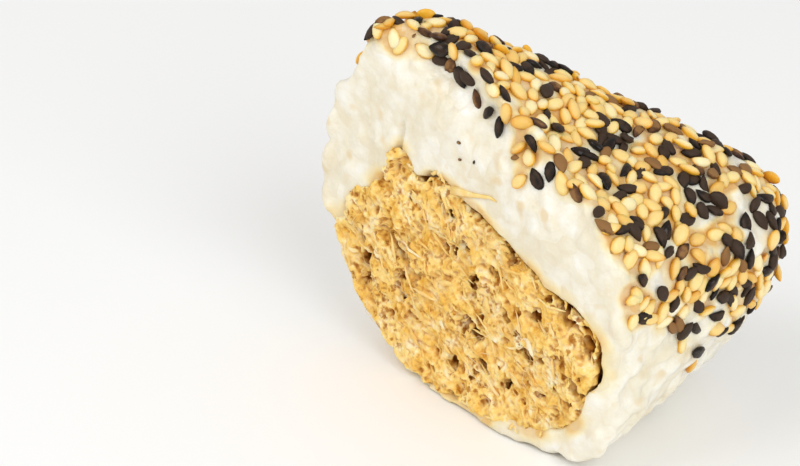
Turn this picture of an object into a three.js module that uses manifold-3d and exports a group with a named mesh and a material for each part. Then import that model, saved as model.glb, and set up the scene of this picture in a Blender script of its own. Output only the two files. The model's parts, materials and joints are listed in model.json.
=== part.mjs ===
// Half of a rounded triangular rice ball, cut from its apex to the middle of its base.
//
// Two sub-parts: the rice, with sesame seeds pressed into its top and hem, and the shredded filling that
// fills the hollow behind the cut. Millimetres, +Z up. The cut face looks along -Y, the apex is at -X and
// the base at +X. The half lies on its pressed underside.

import * as THREE from "three";
import { ConvexGeometry } from "three/addons/geometries/ConvexGeometry.js";
import { mergeVertices } from "three/addons/utils/BufferGeometryUtils.js";
import Module from "manifold-3d";

const wasm = await Module();
wasm.setup();

// Driving dimensions.
const LENGTH = 57; // apex to base, along the cut
const HALF_WIDTH = 40; // cut to far corner
const PRESS = 1.2; // how far the underside is pressed flat
const GAP = 0.3; // between the rice and its filling

// The three corners of the half, each with its height and the reach of its rounded edges.
// run is how far an edge reaches in from the side, rise how far it reaches up or down it.
const APEX = { radius: 17, foot: 8, top: 50.2, upper: { run: 8, rise: 28 }, lower: { run: 34, rise: 26.5 } };
const BASE = { top: 39.2, upper: { run: 10, rise: 14 }, lower: { run: 16, rise: 10.5 } };
const FAR = { radius: 12, foot: 6, top: 37, upper: { run: 13, rise: 18 }, lower: { run: 22, rise: 29.5 } };

const SEED = { length: 3.1, width: 1.9, thickness: 1.15, spacing: 3.05, sunk: 0.28 };
const FILLING_DEPTH = 19.5; // how far the filling reaches in from the cut
const CORE = new THREE.Vector3(2, 9, 23); // a point deep in the rice, from which its skin is laid out
const BEYOND = 9; // how far the uncut block runs on in front of the cut

// ---- small tools ----------------------------------------------------------------------------------------

// A repeatable random number generator.
function dice(seed) {
  let state = seed;
  return () => {
    state = (state + 0x6d2b79f5) | 0;
    let t = Math.imul(state ^ (state >>> 15), 1 | state);
    t = (t + Math.imul(t ^ (t >>> 7), 61 | t)) ^ t;
    return ((t ^ (t >>> 14)) >>> 0) / 4294967296;
  };
}

function latticeValue(i, j, k) {
  const s = Math.sin(i * 127.1 + j * 311.7 + k * 74.7) * 43758.5453;
  return (s - Math.floor(s)) * 2 - 1;
}

// Smooth lumps about `size` across, from -1 to 1.
function lumps(x, y, z, size) {
  const cell = [x / size, y / size, z / size];
  const low = cell.map(Math.floor);
  const f = cell.map((v, n) => THREE.MathUtils.smoothstep(v - low[n], 0, 1));
  let sum = 0;
  for (let n = 0; n < 8; n += 1) {
    const [a, b, c] = [n & 1, (n >> 1) & 1, (n >> 2) & 1];
    const weight = (a ? f[0] : 1 - f[0]) * (b ? f[1] : 1 - f[1]) * (c ? f[2] : 1 - f[2]);
    sum += weight * latticeValue(low[0] + a, low[1] + b, low[2] + c);
  }
  return sum;
}

// A value read off straight lines between [at, value] stops.
function between(stops, at) {
  if (at <= stops[0][0]) return stops[0][1];
  for (let n = 1; n < stops.length; n += 1) {
    const [a, va] = stops[n - 1];
    const [b, vb] = stops[n];
    if (at <= b) return THREE.MathUtils.mapLinear(at, a, b, va, vb);
  }
  return stops[stops.length - 1][1];
}

function toSolid(geometry) {
  const bare = geometry.clone();
  bare.deleteAttribute("normal");
  bare.deleteAttribute("uv");
  const merged = mergeVertices(bare, 1e-5);
  return new wasm.Manifold(
    new wasm.Mesh({
      numProp: 3,
      vertProperties: new Float32Array(merged.attributes.position.array),
      triVerts: new Uint32Array(merged.index.array),
    }),
  );
}

// The largest connected body of a solid: loose scraps and sealed hollows go.
function largestBody(solid) {
  return solid.decompose().reduce((best, body) => (body.volume() > best.volume() ? body : best));
}

function toGeometry(solid) {
  const { numProp, vertProperties, triVerts } = solid.getMesh();
  const position = new Float32Array((vertProperties.length / numProp) * 3);
  for (let n = 0; n < position.length / 3; n += 1) {
    position.set(vertProperties.subarray(n * numProp, n * numProp + 3), n * 3);
  }
  const geometry = new THREE.BufferGeometry();
  geometry.setAttribute("position", new THREE.BufferAttribute(position, 3));
  geometry.setIndex(new THREE.BufferAttribute(new Uint32Array(triVerts), 1));
  return geometry;
}

// ---- the block of rice ----------------------------------------------------------------------------------

const BACK = -LENGTH / 2; // x of the apex
const FRONT = LENGTH / 2; // x of the base

// Quarter-ellipse edges, as [inset from the side, height] steps. The lower one ends below the underside.
const QUARTER = Array.from({ length: 9 }, (_, n) => (n / 8) * (Math.PI / 2));

function upperEdge({ top, upper: { run, rise } }) {
  return QUARTER.map((turn) => [run * (1 - Math.cos(turn)), top - rise * (1 - Math.sin(turn))]);
}

function lowerEdge({ lower: { run, rise } }) {
  return QUARTER.map((turn) => [run * (1 - Math.cos(turn)), rise * (1 - Math.sin(turn)) - PRESS]);
}

// A rounded corner at each step of its edges: a level ring that shrinks and draws in from the two sides.
function cornerRings(corner, place) {
  const points = [];
  for (const [inset, z] of [...upperEdge(corner), ...lowerEdge(corner)]) {
    const radius = Math.max(corner.radius - inset, corner.foot);
    const drawn = Math.max(0, inset - (corner.radius - corner.foot));
    const [x, y] = place(drawn);
    for (let turn = 0; turn < 360; turn += 10) {
      const a = THREE.MathUtils.degToRad(turn);
      const p = new THREE.Vector3(x + radius * Math.cos(a), y + radius * Math.sin(a), z);
      if (p.y >= 0) points.push(p);
    }
  }
  return points;
}

// The outline of the half in the plane of the cut, carried on straight in front of it.
function cutOutline() {
  const outline = [
    ...[...upperEdge(APEX), ...lowerEdge(APEX)].map(([inset, z]) => [BACK + inset, z]),
    ...[...upperEdge(BASE), ...lowerEdge(BASE)].map(([inset, z]) => [FRONT - inset, z]),
  ];
  return outline.flatMap(([x, z]) => [new THREE.Vector3(x, 0, z), new THREE.Vector3(x, -BEYOND, z)]);
}

const hull = new ConvexGeometry([
  ...cornerRings(APEX, (drawn) => [BACK + APEX.radius + drawn, 0]),
  ...cornerRings(FAR, (drawn) => [FRONT - FAR.radius - drawn, HALF_WIDTH - FAR.radius - 0.9 * drawn]),
  ...cutOutline(),
]);

// The hull's faces as planes, for measuring from CORE out to its skin.
function hullPlanes(geometry) {
  const position = geometry.attributes.position;
  const [a, b, c] = [new THREE.Vector3(), new THREE.Vector3(), new THREE.Vector3()];
  const planes = [];
  for (let n = 0; n < position.count; n += 3) {
    a.fromBufferAttribute(position, n).sub(CORE);
    b.fromBufferAttribute(position, n + 1).sub(CORE);
    c.fromBufferAttribute(position, n + 2).sub(CORE);
    const normal = b.sub(a).cross(c.sub(a)).normalize().clone();
    if (normal.lengthSq() > 0.5) planes.push({ normal, reach: normal.dot(a) });
  }
  return planes;
}

const PLANES = hullPlanes(hull);

// Where a ray from CORE meets the smooth block, and which way the skin faces there.
function skin(direction) {
  let distance = Infinity;
  let normal = null;
  for (const plane of PLANES) {
    const along = plane.normal.dot(direction);
    if (along > 1e-6 && plane.reach / along < distance) {
      distance = plane.reach / along;
      normal = plane.normal;
    }
  }
  return { point: CORE.clone().addScaledVector(direction, distance), normal };
}

// Hand-pressed unevenness, in along the skin's normal, with none on the pressed underside.
function unevenness(p) {
  const fade = THREE.MathUtils.smoothstep(p.z, 0.2, 6);
  const broad = 0.8 * lumps(p.x + 3, p.y, p.z, 15);
  const grains = 0.32 * lumps(p.x, p.y, p.z + 40, 4.2);
  const cracks = -0.9 * THREE.MathUtils.smoothstep(lumps(p.x, p.y * 0.6, p.z * 2.2 + 90, 7), 0.45, 0.9);
  return fade * (broad + grains + cracks);
}

function riceBlock() {
  const geometry = mergeVertices(new THREE.IcosahedronGeometry(1, 10).deleteAttribute("normal").deleteAttribute("uv"));
  const position = geometry.attributes.position;
  for (let n = 0; n < position.count; n += 1) {
    const direction = new THREE.Vector3().fromBufferAttribute(position, n).normalize();
    const { point, normal } = skin(direction);
    point.addScaledVector(normal, unevenness(point));
    position.setXYZ(n, point.x, point.y, point.z);
  }
  const below = new THREE.BoxGeometry(3 * LENGTH, 3 * LENGTH, 10).translate(0, 0, -5);
  return toSolid(geometry).subtract(toSolid(below));
}

// ---- the cut --------------------------------------------------------------------------------------------

// Everything in front of a cut: a slab whose far side follows `relief`, the y of the cut at each x and z.
function cutAway(relief, step) {
  const size = LENGTH + 12;
  const cells = Math.round(size / step);
  const depth = 3 * BEYOND;
  const slab = new THREE.BoxGeometry(size, depth, size, cells, 1, cells).translate(0, -depth / 2, size / 2 - 4);
  const position = slab.attributes.position;
  for (let n = 0; n < position.count; n += 1) {
    if (position.getY(n) > -1e-6) position.setY(n, relief(position.getX(n), position.getZ(n)));
  }
  return toSolid(slab);
}

// The height of the block's top edge along the cut.
function topLine(x) {
  return between([[BACK + APEX.upper.run, APEX.top], [FRONT - BASE.upper.run, BASE.top]], x);
}

// The knife leaves soft rice: its face is nearly flat, and turns back at the top edge and towards the base.
function riceCut(x, z) {
  const lip = THREE.MathUtils.clamp(1 - (topLine(x) - z) / 7, 0, 1);
  const corner = THREE.MathUtils.clamp(1 - (FRONT - x) / 6, 0, 1);
  const round = between([[-20, 1.5], [-10, 4], [4, 2]], x) * lip ** 2 + 1.2 * corner ** 2;
  return round + 0.5 * lumps(x, 7, z, 11) + 0.28 * lumps(x, 31, z, 4.2);
}

// ---- the filling ----------------------------------------------------------------------------------------

// Its outline on the cut: a low mound that breaks out of the underside at the apex end.
const FILLING_OUTLINE = new THREE.CatmullRomCurve3(
  [
    [-26, 16], [-24, 7], [-15, 1], [-4, 0.8], [8, 1.8], [17, 3.6], [22.5, 8.4], [25.6, 14.6], [24.8, 21.4],
    [17, 24.8], [6, 29], [-3, 31.8], [-10.5, 31], [-14, 33], [-17.5, 26.5], [-22.5, 21.5],
  ].map(([x, z]) => new THREE.Vector3(x, 0, z)),
  true,
);

// The middle of the mound at a depth: it leans away from the narrow apex and rises a little.
function fillingHeart(y) {
  return new THREE.Vector3(2 + 0.45 * Math.max(y, 0), 0, 15 + 0.28 * Math.max(y, 0));
}

// The mound as rings of its outline, each narrower the further in it lies.
function mound(margin) {
  const around = 44;
  const stations = [-BEYOND, 0, 3.5, 7, 10.5, 13.5, 16, 18, FILLING_DEPTH];
  const outline = FILLING_OUTLINE.getPoints(around).slice(0, around);
  const vertices = [];
  for (const y of stations) {
    const inside = Math.max(y, 0);
    const narrow = 1 - (inside / (FILLING_DEPTH + 0.5)) ** 1.35;
    const heart = fillingHeart(y);
    outline.forEach((p) => {
      const uneven = 0.6 * Math.min(1, inside / 5) * lumps(p.x, y, p.z, 6);
      const out = p.clone().sub(fillingHeart(0));
      out.setLength(out.length() * narrow + margin + uneven).add(heart);
      vertices.push(out.x, y === FILLING_DEPTH ? y + margin : y, out.z);
    });
  }
  const [first, inmost] = [fillingHeart(0), fillingHeart(FILLING_DEPTH)];
  vertices.push(first.x, -BEYOND, first.z);
  vertices.push(inmost.x, FILLING_DEPTH + margin, inmost.z);
  const last = (stations.length - 1) * around;
  const front = last + around;
  const back = front + 1;
  const index = [];
  for (let n = 0; n < around; n += 1) {
    const m = (n + 1) % around;
    for (let ring = 0; ring < last; ring += around) {
      index.push(ring + n, ring + around + n, ring + m, ring + m, ring + around + n, ring + around + m);
    }
    index.push(front, n, m, back, last + m, last + n);
  }
  const geometry = new THREE.BufferGeometry();
  geometry.setAttribute("position", new THREE.Float32BufferAttribute(vertices, 3));
  geometry.setIndex(index);
  return toSolid(geometry);
}

// Torn shreds stand out of the filling's cut, with ragged hollows between them.
function fillingCut(x, z) {
  const lie = THREE.MathUtils.degToRad(35);
  const along = x * Math.cos(lie) - z * Math.sin(lie);
  const across = x * Math.sin(lie) + z * Math.cos(lie);
  const shreds = 1 - 2 * Math.abs(lumps(along * 0.45, 3, across, 3.6));
  const clumps = lumps(x, 17, z, 8);
  const pits = THREE.MathUtils.smoothstep(lumps(x, 53, z, 4.5), 0.35, 0.8);
  return 0.5 - 0.7 * shreds - 0.7 * clumps + 1.6 * pits;
}

// ---- the seeds ------------------------------------------------------------------------------------------

// How low the seeds come down the sides, by compass turn about the core: 0 faces the base, 90 the long side.
const SEED_HEM = [
  [-22, 33], [-13, 28], [-4, 21], [11, 18], [20, 15], [30, 11], [55, 13], [95, 25], [140, 33], [185, 43],
];

// How far behind the cut the seeds begin, along the top.
const SEED_START = [
  [-26, 1], [-21, 0.9], [-17.5, 2.6], [-12, 3.8], [-7.5, 3.2], [0.6, 2], [14.5, 1.8], [20, 2.2], [27, 2.4],
];

// A seed: an egg flattened on its back, drawn to a point at one end.
function seedGeometry(scale) {
  const geometry = new THREE.SphereGeometry(0.5, 6, 3).rotateZ(-Math.PI / 2);
  const position = geometry.attributes.position;
  for (let n = 0; n < position.count; n += 1) {
    const x = position.getX(n);
    const slim = 1 - 2 * Math.max(0, x) ** 2;
    const [width, thickness] = [SEED.width * slim, SEED.thickness * slim];
    position.setXYZ(n, x * SEED.length, position.getY(n) * width, position.getZ(n) * thickness);
  }
  return geometry.scale(scale, scale, scale);
}

// Lays a seed on a face at `point`, its long way turned by `turn` about the normal.
function laySeed(point, normal, turn, scale) {
  const upright = new THREE.Quaternion().setFromUnitVectors(new THREE.Vector3(0, 0, 1), normal);
  const spin = new THREE.Quaternion().setFromAxisAngle(new THREE.Vector3(0, 0, 1), turn);
  const height = SEED.thickness * scale * (0.5 - SEED.sunk);
  const place = point.clone().addScaledVector(normal, height);
  return toSolid(seedGeometry(scale).applyQuaternion(upright.multiply(spin)).translate(place.x, place.y, place.z));
}

function seedsOnSkin() {
  const roll = dice(20);
  const places = [];
  const seeds = [];
  for (let tries = 0; tries < 9000; tries += 1) {
    const direction = new THREE.Vector3().setFromSphericalCoords(1, Math.acos(2 * roll() - 1), roll() * 2 * Math.PI);
    const turn = roll() * Math.PI;
    const scale = 0.9 + 0.2 * roll();
    const { point, normal } = skin(direction);
    const compass = THREE.MathUtils.radToDeg(Math.atan2(point.y - CORE.y, point.x - CORE.x));
    const hem = between(SEED_HEM, compass < -60 ? compass + 360 : compass);
    if (point.y < between(SEED_START, point.x) || point.z < hem) continue;
    point.addScaledVector(normal, unevenness(point));
    if (places.some((place) => place.distanceTo(point) < SEED.spacing)) continue;
    places.push(point);
    seeds.push(laySeed(point, normal, turn, scale));
  }
  return seeds;
}

// A few seeds have dropped onto the cut, above the filling.
function seedsOnCut() {
  const strays = [[9.6, 38.5, 0.4], [11.8, 39.5, 1.2], [15.6, 37.8, 0.9], [-17.4, 47.8, 2.2], [-15.6, 47.4, 1.4]];
  return strays.map(([x, z, turn]) => {
    const point = new THREE.Vector3(x, riceCut(x, z), z);
    return laySeed(point, new THREE.Vector3(0, -1, 0), turn, 1);
  });
}

// ---- the half rice ball ---------------------------------------------------------------------------------

const block = riceBlock();
const seeds = [...seedsOnSkin(), ...seedsOnCut()];
const bareRice = block.subtract(cutAway(riceCut, 2.6)).subtract(mound(GAP));
const rice = largestBody(seeds.reduce((whole, seed) => whole.add(seed), bareRice));
const filling = largestBody(block.intersect(mound(0)).subtract(cutAway(fillingCut, 1.7)));

function part(name, solid, look) {
  const mesh = new THREE.Mesh(toGeometry(solid), new THREE.MeshStandardMaterial(look));
  mesh.name = name;
  return mesh;
}

const riceBall = new THREE.Group();
riceBall.name = "rice_ball_half";
riceBall.add(
  part("rice", rice, { color: 0xf4ecdb, roughness: 0.45, metalness: 0 }),
  part("filling", filling, { color: 0xd9a95c, roughness: 0.7, metalness: 0 }),
);

// The origin is under the middle of the half, on the surface that it lies on.
const box = new THREE.Box3().setFromObject(riceBall);
const middle = box.getCenter(new THREE.Vector3());
riceBall.children.forEach((mesh) => mesh.geometry.translate(-middle.x, -middle.y, -box.min.z));

export default riceBall;
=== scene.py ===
import json
import math
import random

import bpy
import numpy as np
from mathutils import Matrix, Vector
from mathutils.bvhtree import BVHTree
from mathutils.kdtree import KDTree

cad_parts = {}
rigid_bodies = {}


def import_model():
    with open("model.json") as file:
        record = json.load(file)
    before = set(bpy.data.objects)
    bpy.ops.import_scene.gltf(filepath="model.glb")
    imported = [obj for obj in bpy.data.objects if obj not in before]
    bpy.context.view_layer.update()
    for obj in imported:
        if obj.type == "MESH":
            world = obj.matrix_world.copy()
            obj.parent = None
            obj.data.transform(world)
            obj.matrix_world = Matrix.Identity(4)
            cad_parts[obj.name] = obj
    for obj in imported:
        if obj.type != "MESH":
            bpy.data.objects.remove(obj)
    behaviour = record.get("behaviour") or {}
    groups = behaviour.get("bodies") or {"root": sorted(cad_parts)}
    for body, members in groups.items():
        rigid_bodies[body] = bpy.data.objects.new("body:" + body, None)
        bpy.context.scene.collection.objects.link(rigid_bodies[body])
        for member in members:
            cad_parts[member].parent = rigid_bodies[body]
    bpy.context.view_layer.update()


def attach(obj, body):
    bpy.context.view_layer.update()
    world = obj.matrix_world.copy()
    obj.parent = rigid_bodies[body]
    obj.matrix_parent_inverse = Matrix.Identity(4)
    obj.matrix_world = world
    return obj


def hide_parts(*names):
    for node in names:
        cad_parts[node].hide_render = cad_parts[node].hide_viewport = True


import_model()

bpy.ops.object.select_all(action="DESELECT")


# ---- Block of rice ---------------------------------------------------------------------------------------
# Cooked short-grain rice, pressed by hand into a rounded triangle and cut from its apex to the middle of
# its base. This half lies on its flat side: apex at -X, base at +X, the cut facing -Y.
# A stack of rings at each of its three corners rounds its edges, and the skin is stretched over them.

MM = 0.001
CUT = -20.06  # y of the cut
APEX_X, BASE_X = -28.82, 28.18
APEX_TOP, FAR_CORNER_TOP, BASE_TOP = 50.2, 37, 39.2
APEX_RADIUS, FAR_CORNER_RADIUS, CUT_CORNER_RADIUS = 17, 12, 2
HALF_WIDTH = 40.0
PRESSED_AWAY = 1.2  # what the hand took off the underside
PATTERN_START = (0.32, 20.06, 0)  # added to a point, so that the uneven patterns start at the cut
EDGE_STEPS = [math.radians(90) * n / 8 for n in range(9)]


def edge_levels(top, upper_run, upper_rise, lower_run, lower_rise):
    """How far in and how high each step of a corner's rounded upper and lower edge lies."""
    upper = [(upper_run * (1 - math.cos(t)), top - upper_rise * (1 - math.sin(t))) for t in EDGE_STEPS]
    lower = [
        (lower_run * (1 - math.cos(t)), lower_rise * (1 - math.sin(t)) - PRESSED_AWAY) for t in EDGE_STEPS
    ]
    return upper + lower


def add_ring(x, y, z, radius):
    bpy.ops.mesh.primitive_circle_add(vertices=36, radius=radius * MM, location=(x * MM, y * MM, z * MM))


def named(name):
    """The new object, under the name of the piece it is for."""
    bpy.context.object.name = bpy.context.object.data.name = name
    return bpy.context.object


def edit(obj):
    bpy.ops.object.select_all(action="DESELECT")
    obj.select_set(True)
    bpy.context.view_layer.objects.active = obj
    bpy.ops.object.mode_set(mode="EDIT")
    bpy.ops.mesh.select_all(action="SELECT")


def leave_edit():
    bpy.ops.object.mode_set(mode="OBJECT")
    bpy.ops.object.transform_apply(location=True, rotation=True, scale=True)


def modify(obj, kind, **settings):
    """Adds a modifier and applies it."""
    modifier = obj.modifiers.new(kind.title(), kind)
    for name, value in settings.items():
        setattr(modifier, name, value)
    bpy.context.view_layer.objects.active = obj
    bpy.ops.object.modifier_apply(modifier=modifier.name)


def points_of(obj):
    """The mesh's points in millimetres."""
    flat = np.empty(len(obj.data.vertices) * 3)
    obj.data.vertices.foreach_get("co", flat)
    return flat.reshape(-1, 3) / MM


def normals_of(obj):
    flat = np.empty(len(obj.data.vertices) * 3)
    obj.data.vertex_normals.foreach_get("vector", flat)
    return flat.reshape(-1, 3)


def move_points(obj, points):
    obj.data.vertices.foreach_set("co", (points * MM).ravel())
    obj.data.update()


def smoothstep(value, low, high):
    t = np.clip((value - low) / (high - low), 0, 1)
    return t * t * (3 - 2 * t)


def lumps(points, size):
    """Smooth lumps about `size` mm across, from -1 to 1. Moving the points gives other lumps."""
    cell = points / size
    low = np.floor(cell)
    share = smoothstep(cell - low, 0, 1)
    total = np.zeros(len(points))
    for corner in ((a, b, c) for a in (0, 1) for b in (0, 1) for c in (0, 1)):
        weight = np.prod(np.where(np.array(corner) == 1, share, 1 - share), axis=1)
        scrambled = np.sin((low + corner) @ (127.1, 311.7, 74.7)) * 43758.5453
        total += weight * ((scrambled - np.floor(scrambled)) * 2 - 1)
    return total


# The rings: the apex, the far corner of the base, and the base where it meets the cut.
add_ring(0, 0, 0, 1)
rice_core = named("rice_core")
edit(rice_core)
bpy.ops.mesh.delete(type="VERT")
for inset, z in edge_levels(APEX_TOP, 8, 28, 34, 26.5):
    radius = max(APEX_RADIUS - inset, 8)
    add_ring(APEX_X + inset + radius, CUT, z, radius)
for inset, z in edge_levels(FAR_CORNER_TOP, 13, 18, 22, 29.5):
    radius = max(FAR_CORNER_RADIUS - inset, 6)
    drawn_in = max(0, inset - 6)
    back_from_cut = HALF_WIDTH - FAR_CORNER_RADIUS - 0.9 * drawn_in
    add_ring(BASE_X - FAR_CORNER_RADIUS - drawn_in, CUT + back_from_cut, z, radius)
for inset, z in edge_levels(BASE_TOP, 10, 14, 16, 10.5):
    add_ring(BASE_X - inset - CUT_CORNER_RADIUS, CUT - 1, z, CUT_CORNER_RADIUS)
bpy.ops.mesh.select_all(action="SELECT")
bpy.ops.mesh.convex_hull()
bpy.ops.mesh.select_all(action="SELECT")
bpy.ops.mesh.bisect(plane_co=(0, CUT * MM, 0), plane_no=(0, 1, 0), use_fill=True, clear_inner=True)
bpy.ops.mesh.select_all(action="SELECT")
bpy.ops.mesh.bisect(plane_co=(0, 0, 0), plane_no=(0, 0, 1), use_fill=True, clear_inner=True)
leave_edit()
modify(rice_core, "REMESH", mode="VOXEL", voxel_size=0.8 * MM)


def top_line(x):
    """The height of the block's top edge along the cut."""
    return np.interp(x, (APEX_X + 8, BASE_X - 10), (APEX_TOP, BASE_TOP))


def knife_relief(x, z):
    """How far behind the cut its face lies: the knife drags soft rice back at the top and by the base."""
    lip = np.clip(1 - (top_line(x) - z) / 7, 0, 1)
    corner = np.clip(1 - (BASE_X - x) / 6, 0, 1)
    across = x + PATTERN_START[0]
    rounded = np.interp(x, (-20.3, -10.3, 3.7), (1.5, 4, 2)) * lip**2 + 1.2 * corner**2
    large = lumps(np.stack((across, np.full_like(x, 7), z), axis=1), 11)
    small = lumps(np.stack((across, np.full_like(x, 31), z), axis=1), 4.2)
    return rounded + 0.5 * large + 0.28 * small


def hand_pressed(points):
    """Unevenness of the pressed skin, outwards, with none on the flat underside."""
    p = points + PATTERN_START
    cracks = lumps(p * (1, 0.6, 2.2) + (0, 0, 90), 7)
    lumpy = 0.8 * lumps(p + (3, 0, 0), 15) + 0.32 * lumps(p + (0, 0, 40), 4.2)
    return smoothstep(points[:, 2], 0.2, 6) * (lumpy - 0.9 * smoothstep(cracks, 0.45, 0.9))


def settled(points):
    """How the soft block gave way, in mm: nipped in at the top of its apex, bulging at the cut's foot."""
    x, y, z = points.T
    nipped = smoothstep(z, 36, 42) * smoothstep(-x, 14, 23) * (1 - 0.45 * smoothstep(z, 45, 50))
    far_corner = smoothstep(x, 20, 27) * smoothstep(y, -2, 6)
    foot = (1 - smoothstep(z, 0.5, 7)) * smoothstep(x, -15, -3) * (1 - smoothstep(x, 8, 19))
    foot *= 1 - smoothstep(y, CUT + 1, CUT + 7)
    return np.stack((2.8 * nipped - far_corner, -1.1 * foot, -0.7 * smoothstep(z, 44, 49.5)), axis=1)


skin = points_of(rice_core)
facing = normals_of(rice_core)
off_cut = smoothstep(skin[:, 1], CUT + 0.5, CUT + 4)
skin += facing * (hand_pressed(skin) * off_cut)[:, None]
near_cut = np.clip(1 - (skin[:, 1] - CUT) / 10, 0, 1) ** 2
skin[:, 1] += knife_relief(skin[:, 0], skin[:, 2]) * near_cut
skin += settled(skin)
lifted = 1.3 * smoothstep(skin[:, 0], 12, 23) * (1 - smoothstep(skin[:, 1], CUT + 2, CUT + 10))
skin[:, 2] = np.maximum(skin[:, 2], 0.35 + lifted)
move_points(rice_core, skin)


# The hollow that the filling lies in: a mound narrowing away from the cut.
HOLLOW_OUTLINE = [
    (-26.3, 16), (-24.3, 7), (-15.3, 1), (-4.3, 0.8), (7.7, 1.8), (16.7, 3.6), (22.2, 8.4), (25.3, 14.6),
    (24.5, 21.4), (16.7, 24.8), (5.7, 29), (-3.3, 31.8), (-7.2, 32.7), (-9.7, 30.1), (-12.2, 31.4),
    (-14.3, 33.4), (-17.8, 26.5), (-22.8, 21.5),
]
HOLLOW_DEPTH = 19.5
HOLLOW_HEART = (1.68, 15)  # x and z of its middle, at the cut
HOLLOW_LEAN = (0.45, 0.28)  # how far its middle moves in x and z with each mm away from the cut
HOLLOW_GAP = 0.3


def rounded_outline(stops, steps):
    """A closed curve through the stops."""
    p = np.array(stops, float)
    before, after, beyond = np.roll(p, 1, 0), np.roll(p, -1, 0), np.roll(p, -2, 0)
    curve = []
    for n in range(len(p)):
        for t in np.arange(steps) / steps:
            curve.append(0.5 * (
                2 * p[n] + (after[n] - before[n]) * t
                + (2 * before[n] - 5 * p[n] + 4 * after[n] - beyond[n]) * t**2
                + (3 * p[n] - before[n] - 3 * after[n] + beyond[n]) * t**3
            ))
    return np.array(curve)


def add_mound(name, front):
    """The mound of the hollow as a solid, carried on straight to `front` mm before the cut."""
    outline = rounded_outline(HOLLOW_OUTLINE, 3)
    bpy.ops.mesh.primitive_circle_add(vertices=len(outline), fill_type="NGON")
    obj = named(name)
    move_points(obj, np.insert(outline, 1, CUT - front, axis=1))
    edit(obj)
    bpy.ops.mesh.extrude_region_move(TRANSFORM_OT_translate={"value": (0, front * MM, 0)})
    was_in, was_size = 0.0, 1.0
    for inside in (3.5, 7, 10.5, 13.5, 16, 18, HOLLOW_DEPTH):
        size = 1 - (inside / (HOLLOW_DEPTH + 0.5)) ** 1.35
        heart_x, heart_z = (at + lean * was_in for at, lean in zip(HOLLOW_HEART, HOLLOW_LEAN))
        heart = (heart_x * MM, (CUT + was_in) * MM, heart_z * MM)
        bpy.ops.mesh.extrude_region_move(TRANSFORM_OT_translate={"value": (0, 0, 0)})
        bpy.ops.transform.resize(value=(size / was_size, 1, size / was_size), center_override=heart)
        step = inside - was_in
        move = (HOLLOW_LEAN[0] * step * MM, step * MM, HOLLOW_LEAN[1] * step * MM)
        bpy.ops.transform.translate(value=move)
        was_in, was_size = inside, size
    bpy.ops.mesh.select_all(action="SELECT")
    bpy.ops.mesh.normals_make_consistent(inside=False)
    leave_edit()
    return obj


def broken_edge(points):
    """The rice broke unevenly round the filling: how far each point is shifted sideways, in mm."""
    x_shift = 0.7 * lumps(points + (5, 0, 11), 3.4) + 0.45 * lumps(points + (29, 0, 3), 1.8)
    z_shift = 0.7 * lumps(points + (71, 0, 17), 3.4) + 0.45 * lumps(points + (43, 0, 23), 1.8)
    return np.stack((x_shift, np.zeros(len(points)), z_shift), axis=1)


def surface_of(obj):
    return BVHTree.FromPolygons([v.co for v in obj.data.vertices], [p.vertices for p in obj.data.polygons])


hollow = add_mound("hollow", 9)
modify(hollow, "REMESH", mode="VOXEL", voxel_size=0.7 * MM)
wall = points_of(hollow)
move_points(hollow, wall + broken_edge(wall) + settled(wall))
hollow_surface = surface_of(hollow)
modify(hollow, "DISPLACE", strength=HOLLOW_GAP * MM, mid_level=0)
core_surface = surface_of(rice_core)
modify(rice_core, "BOOLEAN", operation="DIFFERENCE", object=hollow, solver="EXACT")
bpy.data.objects.remove(hollow)


# ---- Grains ----------------------------------------------------------------------------------------------
# The skin of the block is grains pressed together until they stick, each about 6 mm long. They stand out
# most on the sides, and the knife and its wet blade have smeared them nearly flat on the cut.

GRAIN = (6.0, 2.9, 2.3)


def spread_over(obj, spacing, tries, seed, wanted):
    """Places on the surface, at least `spacing` mm apart, where `wanted` says so: points and normals."""
    mesh = obj.data
    mesh.calc_loop_triangles()
    corners = np.empty(len(mesh.loop_triangles) * 3, int)
    mesh.loop_triangles.foreach_get("vertices", corners)
    a, b, c = points_of(obj)[corners.reshape(-1, 3)].transpose(1, 0, 2)
    cross = np.cross(b - a, c - a)
    area = np.linalg.norm(cross, axis=1)
    roll = np.random.default_rng(seed)
    chosen = roll.choice(len(area), tries, p=area / area.sum())
    u, v = roll.random((2, tries, 1))
    u, v = np.where(u + v > 1, 1 - u, u), np.where(u + v > 1, 1 - v, v)
    points = a[chosen] + u * (b - a)[chosen] + v * (c - a)[chosen]
    normals = cross[chosen] / np.maximum(area[chosen], 1e-12)[:, None]
    kept, cells = [], {}
    around = [(i, j, k) for i in (-1, 0, 1) for j in (-1, 0, 1) for k in (-1, 0, 1)]
    for n in np.flatnonzero(wanted(points, normals)):
        home = tuple(np.floor(points[n] / spacing).astype(int))
        near = (cells.get((home[0] + i, home[1] + j, home[2] + k), ()) for i, j, k in around)
        if all(np.linalg.norm(points[n] - points[m]) >= spacing for group in near for m in group):
            cells.setdefault(home, []).append(n)
            kept.append(n)
    return points[kept], normals[kept]


def frame_on(normal, turn):
    """Three axes of something lying on a face: along, across and up, turned by `turn` about the normal."""
    up = np.array(normal, float)
    level = np.cross((0, 0, 1), up) if abs(up[2]) < 0.95 else np.array((1.0, 0, 0))
    level -= up * (level @ up)
    level /= np.linalg.norm(level)
    other = np.cross(up, level)
    along = math.cos(turn) * level + math.sin(turn) * other
    return np.stack((along, np.cross(up, along), up), axis=1)


def turn_about(axes, which, angle):
    """The turn by `angle` about one of the axes."""
    return Matrix.Rotation(angle, 3, Vector(axes[:, which]))


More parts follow.
